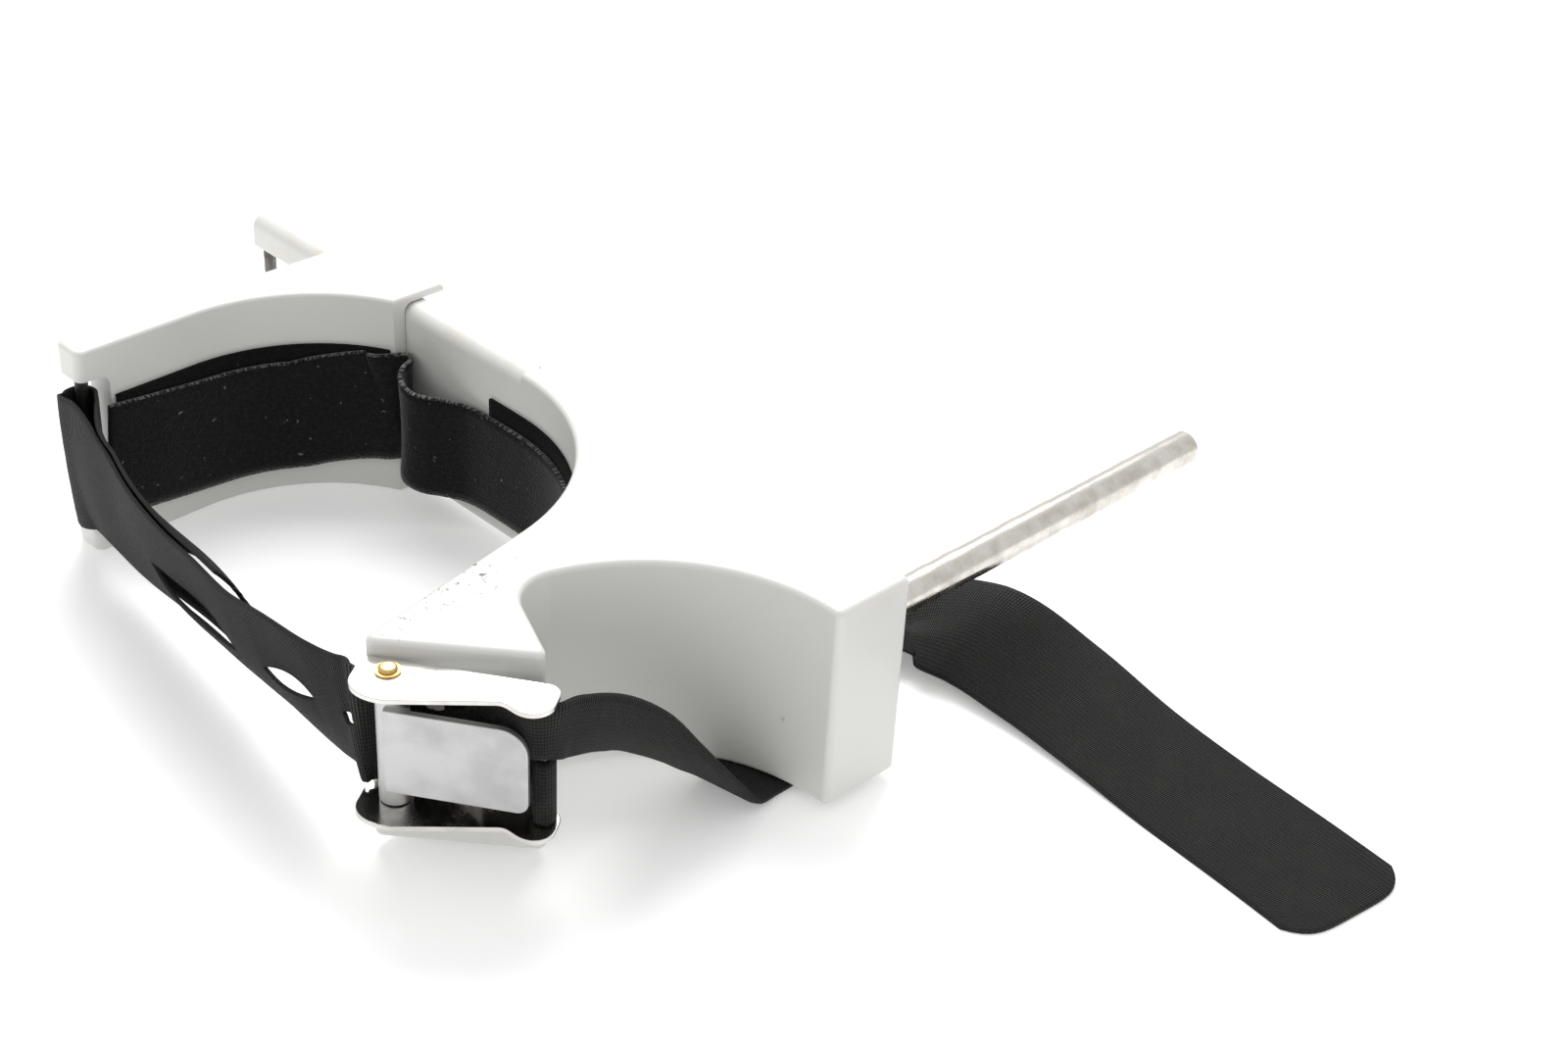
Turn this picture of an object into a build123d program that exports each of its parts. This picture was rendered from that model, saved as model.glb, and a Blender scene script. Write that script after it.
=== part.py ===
from build123d import *
import math
import os

os.makedirs("parts", exist_ok=True)

# Leg holder for an operating table, in mm. +Z is up, +X runs along the rail towards the
# half ring, and +Y is the way the support post points. The origin is on the post's axis,
# where the post leaves the back of the casting, at the casting's mid-height.

# ---- casting: overall -------------------------------------------------------------------
body_height = 92.7
body_right = 38.6            # post axis to the right end
body_end_depth = 39.9        # back to front at the right end
thigh_radius = 100.0         # inner face of the half ring
ring_x = -182.0              # where the half ring meets the rail
ring_turn = 78.0             # degrees of the half ring's arc
arm_length = 94.0            # straight inner face from the arc to the arm's corner
arm_end_width = 69.9
arm_end_angle = 41.2         # the arm's end face, from +X
notch_reach = 49.0           # arm's outer corner to the notch behind it
notch_angle = 157.0          # direction of that face, from +X
notch_radius = 18.0
bay_radius = 90.5            # hollow between the arm and the right end
corner_round = 3.0
edge_round = 2.5

# ---- rail -------------------------------------------------------------------------------
rail_end = -388.0
rail_back = -2.6
rail_front = -13.9
rail_round = 6.2
back_step = 20.0             # length of the slope from rail_back to the casting's back
slot_end = -269.0
slot_height = 62.0
slot_round = 4.0
end_pin_radius = 3.0
end_pin_inset = 4.1          # rail end to the pin's axis
end_pin_cover = 6.0          # metal above the pin's blind hole

# ---- jaw --------------------------------------------------------------------------------
jaw_left = -326.9
jaw_width = 61.3
jaw_overhang = 10.6          # past the rail's back face
jaw_radius = 82.7
jaw_arm = 15.5               # thinnest wall, left of the arc
jaw_wall = 6.3               # wall in front of the rail at the jaw's right face
jaw_tip = -156.0
jaw_tip_width = 17.9
lip_thickness = 3.5
lip_gap = 0.95               # rail to lip, above and below
slide_gap = 0.3              # rail to jaw, front and back
channel_round = 4.5
jaw_edge_round = 2.0
tongue_length = 42.0
tongue_inset = 8.5           # jaw's left face to the tongue
tongue_gap = 0.5             # tongue to slot, above and below
flange_height = 79.6
flange_thickness = 5.0
fork_height = 72.0
fork_depth = 15.0
strap_bar_radius = 3.0
strap_bar_inset = 6.0        # tip to the bar's axis
strap_bar_grip = 8.0         # length held in each tine

# ---- post -------------------------------------------------------------------------------
post_radius = 15.875 / 2
post_reach = 233.8
post_depth = 32.0            # held inside the casting
post_chamfer = 1.0
spigot_radius = 7.0          # the part of the post held in the casting
lock_screw_radius = 4.0
lock_screw_y = -17.0
lock_screw_dimple = 1.5      # how far its point enters the post
hex_radius = 2.3
hex_depth = 5.0

# ---- buckle -----------------------------------------------------------------------------
buckle_yaw = 34.6            # plates' long side, from +X
buckle_along = 12.7          # arm corner to the lever's pin, along the end face
buckle_off = 9.3             # end face to the pin
plate_top = 39.8
plate_thickness = 1.9
plate_gap = 56.0
plate_back = 7.6             # pin to the plates' straight back edge
plate_left = 12.5
lobe_radius = 14.0
tail_lobe_radius = 8.4
tail_lobe_x = 55.5
tail_lobe_y = -3.5
pin_radius = 2.5
head_radius = 3.6
head_height = 1.6
washer_radius = 4.95
washer_thickness = 0.8
bush_wall = 1.0
running_gap = 0.05
hub_radius = 6.4
hub_shift = (1.0, 0.3)       # cam throw, along and behind the plates' long side
hub_end_gap = 0.5
lever_thickness = 3.0
lever_offset = 5.3           # pin to the lever plate's back face
lever_reach = 54.5
lever_low_gap = 8.7          # lower plate to the lever plate
lever_high_gap = 10.1        # lever plate to the upper plate
lever_corner = 4.5
lever_nose = 11.0
rear_bar_radius = 2.6
rear_bar_x = 58.0
rear_bar_y = 1.0

# ---- webbing ----------------------------------------------------------------------------
web_thickness = 1.6
web_gap = 0.15
anchor_width = 25.4
anchor_plate_thickness = 2.0
anchor_plate_length = 19.4
anchor_inset = 3.9           # arm's right corner to the anchor pocket
anchor_slit = 2.3            # room for the webbing beside the plate
anchor_screw_radius = 2.0
anchor_screw_length = 14.0
anchor_screw_spread = 14.0
anchor_lift = 18.1           # lower plate to the middle of the anchor webbing
run_low = -33.0
run_high = 15.0
tip_low = -35.6
tip_high = 27.1
fold_low_gap = 4.1           # lower plate to the strap folded in the buckle
fold_high_gap = 4.9          # that strap to the upper plate
tail_clear = 1.3             # anchor webbing to the strap above it
tail_high = 34.0
fold_end_x = -165.0          # stitched end of the strap's second layer
tail_width = 32.0
tail_clearance = 0.15

# ---- hook and loop bands ----------------------------------------------------------------
hook_width = 50.8
hook_thickness = 1.6
glue = 0.05
liner_thickness = 2.0
liner_drop = -8.5            # centre of the soft band, below the hook strips' centre
hook_start_x = -203.0        # fixed strip's left end, on the rail
hook_end_gap = 12.0          # fixed strip's far end to the arm's corner
jaw_hook_margin = 2.0

# ---- worked out from the sizes above ----------------------------------------------------
half_body = body_height / 2
channel_height = body_height + 2 * lip_gap
jaw_height = channel_height + 2 * lip_thickness
floor = -jaw_height / 2
upper_plate_low = plate_top - plate_thickness
lower_plate_top = upper_plate_low - plate_gap
anchor_middle = lower_plate_top + anchor_lift
tail_low = anchor_middle + anchor_width / 2 + tail_clear
lever_low = lower_plate_top + lever_low_gap
lever_high = upper_plate_low - lever_high_gap
fold_low = lower_plate_top + fold_low_gap
fold_high = upper_plate_low - fold_high_gap
rail_middle = (rail_back + rail_front) / 2
jaw_right = jaw_left + jaw_width
jaw_back = rail_back + jaw_overhang
channel_front = rail_front - slide_gap
jaw_front = channel_front - jaw_wall


def direction(angle):
    """Unit vector in plan at an angle from +X, in degrees."""
    return Vector(math.cos(math.radians(angle)), math.sin(math.radians(angle)))


def prism(outline, low, high):
    """Solid between two heights over a closed plan outline."""
    return Pos(0, 0, low) * extrude(make_face(outline), high - low, dir=(0, 0, 1))


def block(low, high):
    """Box between two corners."""
    size = [b - a for a, b in zip(low, high)]
    middle = [(a + b) / 2 for a, b in zip(low, high)]
    return Pos(*middle) * Box(*size)


def upright(x, y, radius, low, high):
    """Cylinder along Z between two heights."""
    return Pos(x, y, (low + high) / 2) * Cylinder(radius, high - low)


def point_in(place, x, y):
    """Plan point given in the coordinates of a place."""
    return (place * Pos(x, y, 0)).position


def shifted(path, offset, side):
    """Plan path moved sideways."""
    if not offset:
        return path
    return path.offset_2d(offset, kind=Kind.INTERSECTION, side=side, closed=False)


def ribbon(path, offset, thickness, low, high, side=Side.RIGHT):
    """Upright strip of webbing that follows a plan path at an offset to one side."""
    near = shifted(Wire(path), offset, side)
    far = shifted(Wire(path), offset + thickness, side)
    far_ends = sorted([far @ 0, far @ 1], key=lambda end: (end - near @ 0).length)
    caps = [Line(near @ 0, far_ends[0]).edge(), Line(near @ 1, far_ends[1]).edge()]
    return prism(near.edges() + far.edges() + caps, low, high)


# ---- plan points ------------------------------------------------------------------------
ring_centre = Vector(ring_x, rail_front - thigh_radius)
ring_start = Vector(ring_x, rail_front)
ring_end = ring_centre + direction(90 - ring_turn) * thigh_radius
arm_inner = ring_end + direction(-ring_turn) * arm_length
arm_outer = arm_inner + direction(arm_end_angle) * arm_end_width
notch = arm_outer + direction(notch_angle) * notch_reach
bay_start = Vector(body_right, -body_end_depth)
jaw_centre = Vector(jaw_left + jaw_arm + jaw_radius, 0)
jaw_centre.Y = jaw_front - math.sqrt(jaw_radius**2 - (jaw_centre.X - jaw_right) ** 2)
jaw_arc_end = jaw_centre - Vector(jaw_radius, 0)
strap_bar = Vector(jaw_left + 8.4, jaw_tip + strap_bar_inset)
end_face = Location((arm_inner.X, arm_inner.Y, 0), (0, 0, arm_end_angle))
pin_place = end_face * Pos(buckle_along, -buckle_off, 0)
buckle = Location(pin_place.position, (0, 0, buckle_yaw))


def ring_path(gap):
    """Inner face of the rail, half ring and arm, from the hook strip's left end."""
    rail = Line((hook_start_x, rail_front), ring_start)
    arc = RadiusArc(ring_start, ring_end, thigh_radius)
    arm = Line(ring_end, arm_inner - direction(-ring_turn) * gap)
    return [rail.edge(), arc.edge(), arm.edge()]


def jaw_path():
    """Inner face of the jaw, from its right face to the fork."""
    start = Vector(jaw_right, jaw_front)
    tip = Vector(jaw_left + jaw_tip_width, jaw_tip)
    fork = jaw_tip + fork_depth + jaw_hook_margin
    share = (fork - jaw_arc_end.Y) / (tip.Y - jaw_arc_end.Y)
    arc = RadiusArc(start, jaw_arc_end, -jaw_radius)
    side = Line(jaw_arc_end, jaw_arc_end + (tip - jaw_arc_end) * share)
    return [arc.edge(), side.edge()]


# ---- castings ---------------------------------------------------------------------------
def body_block():
    """The right part of the casting: half ring, arm and post boss."""
    outline = [
        Line((ring_x, rail_back), (ring_x + back_step, 0)).edge(),
        Line((ring_x + back_step, 0), (body_right, 0)).edge(),
        Line((body_right, 0), bay_start).edge(),
        RadiusArc(bay_start, notch, -bay_radius).edge(),
        Line(notch, arm_outer).edge(),
        Line(arm_outer, arm_inner).edge(),
        Line(arm_inner, ring_end).edge(),
        RadiusArc(ring_end, ring_start, -thigh_radius).edge(),
        Line(ring_start, (ring_x, rail_back)).edge(),
    ]
    face = make_face(outline)
    corners = [Vector(body_right, 0), bay_start, arm_outer, arm_inner]
    for spot, radius in [(c, corner_round) for c in corners] + [(notch, notch_radius)]:
        corner = face.vertices().sort_by_distance(spot)[0]
        face = fillet(corner, radius)
    solid = Pos(0, 0, -half_body) * extrude(face, body_height, dir=(0, 0, 1))
    rims = solid.edges().filter_by(lambda e: abs(abs(e.center().Z) - half_body) < 0.01)
    rims = rims.filter_by(lambda e: e.center().X > ring_x + 0.1)
    return fillet(rims, edge_round)


def rail_block():
    """The rail, rounded along its front edges, with its open-ended slot."""
    length = ring_x - rail_end
    thickness = rail_back - rail_front
    rail = Pos(rail_end + length / 2, rail_middle, 0) * Box(length, thickness, body_height)
    front = rail.edges().filter_by(Axis.X).sort_by(Axis.Y)[:2]
    rail = fillet(front, rail_round)
    slot_length = slot_end - rail_end
    slot = Box(2 * slot_length, 2 * thickness, slot_height)
    slot = fillet(slot.edges().filter_by(Axis.Y), slot_round)
    return rail - Pos(rail_end, rail_middle, 0) * slot


def fixed_body():
    """The whole casting with its holes."""
    solid = body_block() + rail_block()
    bore = Cylinder(spigot_radius + running_gap, post_depth)
    bore = Pos(0, -post_depth / 2, 0) * Rot(90, 0, 0) * bore
    pin = upright(rail_end + end_pin_inset, rail_middle, end_pin_radius,
                  -half_body, half_body - end_pin_cover)
    screw = upright(0, lock_screw_y, lock_screw_radius, -half_body, 0)
    pocket = end_face * anchor_pocket()
    threads = end_face * anchor_shanks(anchor_screw_length)
    return solid - bore - pin - screw - pocket - threads


def sliding_jaw():
    """The jaw: a curved arm, a channel round the rail, a tongue through its slot, a fork."""
    tip_right = jaw_left + jaw_tip_width
    outline = [
        Line((jaw_left, jaw_back), (jaw_right, jaw_back)).edge(),
        Line((jaw_right, jaw_back), (jaw_right, jaw_front)).edge(),
        RadiusArc((jaw_right, jaw_front), jaw_arc_end, -jaw_radius).edge(),
        Line(jaw_arc_end, (tip_right, jaw_tip)).edge(),
        Line((tip_right, jaw_tip), (jaw_left, jaw_tip)).edge(),
        Line((jaw_left, jaw_tip), (jaw_left, jaw_back)).edge(),
    ]
    solid = prism(outline, -jaw_height / 2, jaw_height / 2)
    tips = solid.edges().filter_by(Axis.Z).sort_by(Axis.Y)[:2]
    solid = fillet(tips, 2 * jaw_edge_round)
    rims = solid.edges().filter_by(lambda e: abs(abs(e.center().Z) - jaw_height / 2) < 0.01)
    solid = fillet(rims, jaw_edge_round)
    deep = jaw_back - channel_front
    channel = Box(2 * jaw_width, 2 * deep, channel_height)
    channel = fillet(channel.edges().filter_by(Axis.X), channel_round)
    solid -= Pos(jaw_left + jaw_width / 2, channel_front + deep, 0) * channel
    solid += jaw_tongue()
    fork_top = jaw_tip + fork_depth
    notch_box = block((jaw_left - 1, jaw_tip - 1, -fork_height / 2),
                      (tip_right + 5, fork_top, fork_height / 2))
    solid -= fillet(notch_box.edges().filter_by(Axis.X).sort_by(Axis.Y)[-2:], slot_round)
    return solid - strap_bar_solid()


def jaw_tongue():
    """The part of the jaw that passes through the slot, with its flange behind the rail."""
    left = jaw_left + tongue_inset
    high = slot_height / 2 - tongue_gap
    seat = rail_back + slide_gap + 0.1
    web = block((left, channel_front - 1, -high), (left + tongue_length, seat + 1, high))
    flange = block((left, seat, -flange_height / 2),
                   (left + tongue_length, seat + flange_thickness, flange_height / 2))
    return web + flange


def strap_bar_solid():
    """Pin in the jaw's fork that the strap goes round."""
    end = fork_height / 2 + strap_bar_grip
    return upright(strap_bar.X, strap_bar.Y, strap_bar_radius, -end, end)


# ---- post and its fastening -------------------------------------------------------------
def support_post():
    """Round accessory post, with a spigot in the casting and a dimple for its lock screw."""
    rod = Cylinder(post_radius, post_reach)
    rod = chamfer(rod.edges().sort_by(Axis.Z)[-1], post_chamfer)
    rod = Pos(0, post_reach / 2, 0) * Rot(-90, 0, 0) * rod
    spigot = Cylinder(spigot_radius, post_depth + 1)
    spigot = Pos(0, (1 - post_depth) / 2, 0) * Rot(90, 0, 0) * spigot
    return rod + spigot - post_lock_screw()


def post_lock_screw():
    """Socket set screw that comes up from below into the post."""
    top = -spigot_radius + lock_screw_dimple
    low = -half_body + 2
    screw = upright(0, lock_screw_y, lock_screw_radius, low, top)
    socket = Pos(0, lock_screw_y, low) * extrude(RegularPolygon(hex_radius, 6), hex_depth)
    return screw - socket


def rail_end_pin():
    """Pin that closes the slot's open end."""
    return upright(rail_end + end_pin_inset, rail_middle, end_pin_radius,
                   -half_body, half_body - end_pin_cover)


# ---- buckle, in its own place: +X along the plates, -Y outwards ---------------------------
def plate_outline():
    """Buckle plate: a wide lobe over the lever's pin, a waist, a small lobe over the bar."""
    waist = (tail_lobe_x - 13, tail_lobe_y - 4.2)
    front_left = (hub_radius - 2, -lobe_radius - 3)
    tail_front = (tail_lobe_x, tail_lobe_y - tail_lobe_radius)
    tail_side = (tail_lobe_x + tail_lobe_radius, tail_lobe_y)
    shoulder = (tail_lobe_x + tail_lobe_radius, plate_back - 6)
    return [
        Line((-plate_left + 4, plate_back), (tail_side[0] - 6, plate_back)).edge(),
        RadiusArc((tail_side[0] - 6, plate_back), shoulder, 6).edge(),
        Line(shoulder, tail_side).edge(),
        RadiusArc(tail_side, tail_front, tail_lobe_radius).edge(),
        Spline(tail_front, waist, tangents=[(-1, 0), (-0.95, -0.24)]).edge(),
        Line(waist, front_left).edge(),
        Spline(front_left, (-plate_left, -4), tangents=[(-1, -0.1), (0.1, 1)]).edge(),
        Line((-plate_left, -4), (-plate_left, plate_back - 4)).edge(),
        RadiusArc((-plate_left, plate_back - 4), (-plate_left + 4, plate_back), 4).edge(),
    ]


def buckle_plate(top):
    """One plate, with holes for the lever's pin and the rear bar."""
    plate = prism(plate_outline(), top - plate_thickness, top)
    plate = fillet(plate.faces().sort_by(Axis.Z)[-1].outer_wire().edges(), 0.4)
    pin_hole = upright(0, 0, pin_radius, top - 5, top + 5)
    bar_hole = upright(rear_bar_x, rear_bar_y, rear_bar_radius - 0.8, top - 5, top + 5)
    return plate - pin_hole - bar_hole


def lever_pin():
    """Rivet through both plates, with a domed brass head at each end."""
    low = lower_plate_top - plate_thickness - washer_thickness
    high = plate_top + washer_thickness
    shank = upright(0, 0, pin_radius, low, high)
    upper = fillet(upright(0, 0, head_radius, high, high + head_height)
                   .edges().sort_by(Axis.Z)[-1], head_height * 0.8)
    lower = fillet(upright(0, 0, head_radius, low - head_height, low)
                   .edges().sort_by(Axis.Z)[0], head_height * 0.8)
    return shank + upper + lower


def brass_washer(low):
    """Washer under a pin head."""
    ring = upright(0, 0, washer_radius, low, low + washer_thickness)
    return ring - upright(0, 0, pin_radius, low, low + washer_thickness)


def rear_bar():
    """Round bar between the plates, riveted at both ends."""
    low = lower_plate_top - plate_thickness
    bar = upright(rear_bar_x, rear_bar_y, rear_bar_radius, lower_plate_top,
                  lower_plate_top + plate_gap)
    return bar + upright(rear_bar_x, rear_bar_y, rear_bar_radius - 0.8, low, plate_top)


def lever_bush():
    """Plain bearing of the lever."""
    low = lower_plate_top + hub_end_gap
    high = lower_plate_top + plate_gap - hub_end_gap
    bush = upright(0, 0, pin_radius + running_gap + bush_wall, low, high)
    return bush - upright(0, 0, pin_radius + running_gap, low, high)


def cam_lever():
    """Tall eccentric hub with a flat handle along the plates."""
    low = lower_plate_top + hub_end_gap
    high = lower_plate_top + plate_gap - hub_end_gap
    hub = upright(hub_shift[0], hub_shift[1], hub_radius, low, high)
    hub = fillet(hub.edges(), 0.6)
    face = Rectangle(lever_reach, lever_high - lever_low)
    face = Pos(lever_reach / 2, (lever_high + lever_low) / 2) * face
    right = face.vertices().sort_by(Axis.X)[-2:].sort_by(Axis.Y)
    face = fillet(right[1], lever_nose)
    low_corner = face.vertices().sort_by_distance((lever_reach, lever_low, 0))[0]
    face = fillet(low_corner, lever_corner)
    handle = extrude(face, lever_thickness)
    handle = fillet(handle.edges(), 0.5)
    handle = Pos(0, -lever_offset, 0) * Rot(90, 0, 0) * handle
    root = block((0, -lever_offset - lever_thickness + 1, lever_low),
                 (hub_radius + hub_shift[0] + 2, -lever_offset + 1, lever_high))
    hole = upright(0, 0, pin_radius + running_gap + bush_wall, low - 1, high + 1)
    return hub + handle + root - hole


# ---- anchor loop, in the end face's place: +X towards the right corner, +Y into the arm ---
def anchor_pocket():
    """Recess in the arm's end face for the clamped webbing and its plate."""
    right = arm_end_width - anchor_inset
    left = right - anchor_slit - anchor_plate_length - 2 * web_gap
    deep = web_thickness + anchor_plate_thickness + web_gap
    half = anchor_width / 2 + 2 * web_gap
    return block((left, -1, anchor_middle - half), (right, deep, anchor_middle + half))


def anchor_shanks(length):
    """Two screw shanks, one above the other."""
    middle = arm_end_width - anchor_inset - anchor_slit - web_gap - anchor_plate_length / 2
    shank = Rot(90, 0, 0) * Cylinder(anchor_screw_radius, length)
    heights = [anchor_middle + side * anchor_screw_spread / 2 for side in (-1, 1)]
    places = [Pos(middle, length / 2 + web_gap, height) for height in heights]
    return Compound([place * shank for place in places])


def anchor_plate():
    """Clamp plate, flush in its pocket."""
    right = arm_end_width - anchor_inset - anchor_slit - web_gap
    half = anchor_width / 2 + web_gap
    plate = block((right - anchor_plate_length, web_gap, anchor_middle - half),
                  (right, web_gap + anchor_plate_thickness, anchor_middle + half))
    return plate - anchor_shanks(anchor_screw_length)


def anchor_screws():
    """Two flush screws through the clamp plate."""
    return anchor_shanks(anchor_screw_length)


def anchor_loop():
    """Narrow webbing: a leaf-shaped loop round the rear bar, clamped under the plate."""
    bar = point_in(end_face.inverse() * buckle, rear_bar_x, rear_bar_y)
    right = arm_end_width - anchor_inset
    stem_x = right - anchor_slit / 2
    inner_radius = rear_bar_radius + web_gap
    outer_radius = inner_radius + web_thickness
    throat = Pos(stem_x, -2.5)
    bar_place = Pos(bar.X, bar.Y)
    outer = make_hull((bar_place * Circle(outer_radius)).edges()
                      + (throat * Circle(web_thickness)).edges())
    inner = make_hull((bar_place * Circle(inner_radius)).edges()
                      + (throat * Circle(0.3)).edges())
    low = anchor_middle - anchor_width / 2
    high = low + anchor_width
    loop = Pos(0, 0, low) * extrude(outer - inner, anchor_width, dir=(0, 0, 1))
    deep = anchor_plate_thickness + web_gap
    half = web_thickness / 2
    stem = block((stem_x - half, -2.5 - half, low), (stem_x + half, deep + web_thickness, high))
    tongue = block((right - anchor_slit - anchor_plate_length, deep, low),
                   (stem_x, deep + web_thickness, high))
    return loop + stem + tongue - anchor_shanks(anchor_screw_length)


# ---- strap ------------------------------------------------------------------------------
def strap_mouth():
    """Where the strap enters the buckle, round the arm's corner."""
    return point_in(buckle, -plate_left - 3.5, plate_back - 1.4)


def strap_main_run():
    """Wide webbing from the jaw's tip to the buckle."""
    start = strap_bar + Vector(0.4, -strap_bar_radius - web_gap)
    mouth = strap_mouth()
    before = Vector(mouth.X - 20, mouth.Y + 8.5)
    path = [Line(start, before).edge(), Line(before, mouth - Vector(web_gap, 0)).edge()]
    return ribbon(path, 0, web_thickness, run_low, run_high)


def strap_tip_loop():
    """The strap round the bar in the jaw's fork."""
    inner = strap_bar_radius + web_gap
    outer = inner + web_thickness
    place = Pos(strap_bar.X, strap_bar.Y)
    ring = place * (Circle(outer) - Circle(inner))
    wedge = Polygon((0, 0), (0, -12), (12, -12), (12, 7), align=None)
    ring -= place * wedge
    return Pos(0, 0, tip_low) * extrude(ring, tip_high - tip_low, dir=(0, 0, 1))


def strap_folded_end():
    """The strap's back end, a second layer behind the main run."""
    start = strap_bar + direction(30) * (strap_bar_radius + web_gap + web_thickness + 0.2)
    main = strap_bar + Vector(0.4, -strap_bar_radius - web_gap)
    slope = (strap_mouth().Y + 8.5 - main.Y) / (strap_mouth().X - 20 - main.X)
    lift = web_thickness + 2 * web_gap
    joined = Vector(start.X + 12, main.Y + slope * (start.X + 12 - main.X) + lift)
    end = Vector(fold_end_x, main.Y + slope * (fold_end_x - main.X) + lift)
    path = [Line(start, joined).edge(), Line(joined, end).edge()]
    return ribbon(path, 0, web_thickness, run_low + 2, run_high - 2, side=Side.LEFT)


def strap_buckle_fold():
    """The strap inside the buckle: behind the hub, then in front of the rear bar."""
    lean = math.tan(math.radians(arm_end_angle - buckle_yaw))
    face = buckle_off / math.cos(math.radians(arm_end_angle - buckle_yaw))
    bend_x = hub_radius + 7
    inset = web_gap + web_thickness
    bar_front = rear_bar_y - rear_bar_radius - web_gap
    points = [
        (-plate_left - 3, face - (plate_left + 3) * lean - inset),
        (bend_x, face + bend_x * lean - inset),
        (rear_bar_x - 12, bar_front - web_thickness),
        (rear_bar_x, bar_front - web_thickness),
    ]
    path = [Line(a, b).edge() for a, b in zip(points, points[1:])]
    strip = ribbon(path, 0, web_thickness, fold_low, fold_high, side=Side.LEFT)
    room = block((rear_bar_x - 16, -20, -60), (rear_bar_x + 20, 20, tail_low))
    return strip - room


def strap_tail_front():
    """The tail from the buckle down to the floor in front of the casting."""
    start = point_in(buckle, rear_bar_x + rear_bar_radius + 1.0, rear_bar_y - 2.4)
    end_y = -body_end_depth - 5
    reach = end_y - start.Y
    side = [
        (0, tail_low),
        (0, tail_high),
        (0.3 * reach, tail_high - 6),
        (0.72 * reach, -12),
        (0.88 * reach, floor + 9),
        (reach, -half_body - 1),
        (reach, floor),
        (0.7 * reach, floor),
        (0.35 * reach, -18),
    ]
    face = Polygon(*side, align=None)
    strip = Pos(start.X, start.Y, 0) * Rot(0, 0, 90) * Rot(90, 0, 0) * face
    return extrude(strip, web_thickness, dir=(1, 0, 0))


def strap_tail_under():
    """The tail, folded double, flat between the casting and the floor."""
    top = -half_body - tail_clearance
    return block((-tail_width / 2, -body_end_depth - 4.5, floor), (tail_width / 2, 16, top))


def strap_tail_back():
    """The tail behind the casting: a folded ridge, then flat to its free end."""
    ground = Polygon((-16, 17), (16, 17), (20, 53), (200, 44), (217, 86), (203, 110),
                     (80, 130), (-25, 105), align=None)
    flat = Pos(0, 0, floor) * extrude(ground, web_thickness + 0.4, dir=(0, 0, 1))
    crest = Polygon((-25, 105), (-7, 59), (8, 57), (-8, 109), align=None)
    return flat + Pos(0, 0, floor) * extrude(crest, 9, dir=(0, 0, 1))


# ---- hook strips and soft band ----------------------------------------------------------
def fixed_hook_pad():
    """Hook strip on the rail, half ring and arm."""
    return ribbon(ring_path(hook_end_gap), glue, hook_thickness,
                  -hook_width / 2, hook_width / 2)


def jaw_hook_pad():
    """Hook strip on the jaw."""
    return ribbon(jaw_path(), glue, hook_thickness, -hook_width / 2, hook_width / 2,
                  side=Side.LEFT)


def liner_fixed():
    """Soft band over the fixed hook strip."""
    offset = 2 * glue + hook_thickness
    low = liner_drop - hook_width / 2
    return ribbon(ring_path(hook_end_gap), offset, liner_thickness, low, low + hook_width)


def liner_jaw():
    """Soft band over the jaw's hook strip."""
    offset = 2 * glue + hook_thickness
    low = liner_drop - hook_width / 2
    return ribbon(jaw_path(), offset, liner_thickness, low, low + hook_width, side=Side.LEFT)


def liner_fold():
    """Slack fold of the soft band between the jaw and the rail."""
    offset = 2 * glue + hook_thickness + liner_thickness
    start = Vector(jaw_right + 1.5, jaw_front - offset)
    end = Vector(hook_start_x - 0.3, rail_front - offset + 0.2)
    span = end.X - start.X
    path = FilletPolyline(
        start,
        Vector(start.X + 0.3 * span, start.Y - 7),
        Vector(start.X + 0.52 * span, start.Y - 7.5),
        Vector(start.X + 0.75 * span, end.Y - 2),
        end,
        radius=5,
    )
    low = liner_drop - hook_width / 2
    return ribbon(path.edges(), 0, liner_thickness, low, low + hook_width, side=Side.LEFT)


def build_parts():
    """Every node with its solid, in place."""
    lower_washer = lower_plate_top - plate_thickness - washer_thickness
    return {
        "fixed_body": fixed_body(),
        "sliding_jaw": sliding_jaw(),
        "support_post": support_post(),
        "post_lock_screw": post_lock_screw(),
        "rail_end_pin": rail_end_pin(),
        "strap_bar": strap_bar_solid(),
        "buckle_upper_plate": buckle * buckle_plate(plate_top),
        "buckle_lower_plate": buckle * buckle_plate(lower_plate_top),
        "lever_pin": buckle * lever_pin(),
        "upper_brass_washer": buckle * brass_washer(plate_top),
        "lower_brass_washer": buckle * brass_washer(lower_washer),
        "buckle_rear_bar": buckle * rear_bar(),
        "lever_bush": buckle * lever_bush(),
        "cam_lever": buckle * cam_lever(),
        "anchor_loop": end_face * anchor_loop(),
        "anchor_plate": end_face * anchor_plate(),
        "anchor_screws": end_face * anchor_screws(),
        "strap_main_run": strap_main_run(),
        "strap_tip_loop": strap_tip_loop(),
        "strap_folded_end": strap_folded_end(),
        "strap_buckle_fold": buckle * strap_buckle_fold(),
        "strap_tail_front": strap_tail_front(),
        "strap_tail_under": strap_tail_under(),
        "strap_tail_back": strap_tail_back(),
        "fixed_hook_pad": fixed_hook_pad(),
        "jaw_hook_pad": jaw_hook_pad(),
        "liner_fixed": liner_fixed(),
        "liner_jaw": liner_jaw(),
        "liner_fold": liner_fold(),
    }


for name, solid in build_parts().items():
    export_step(solid, f"parts/{name}.step")
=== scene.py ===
import math

import bmesh
import bpy
import numpy as np
from mathutils import Matrix, Vector


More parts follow.
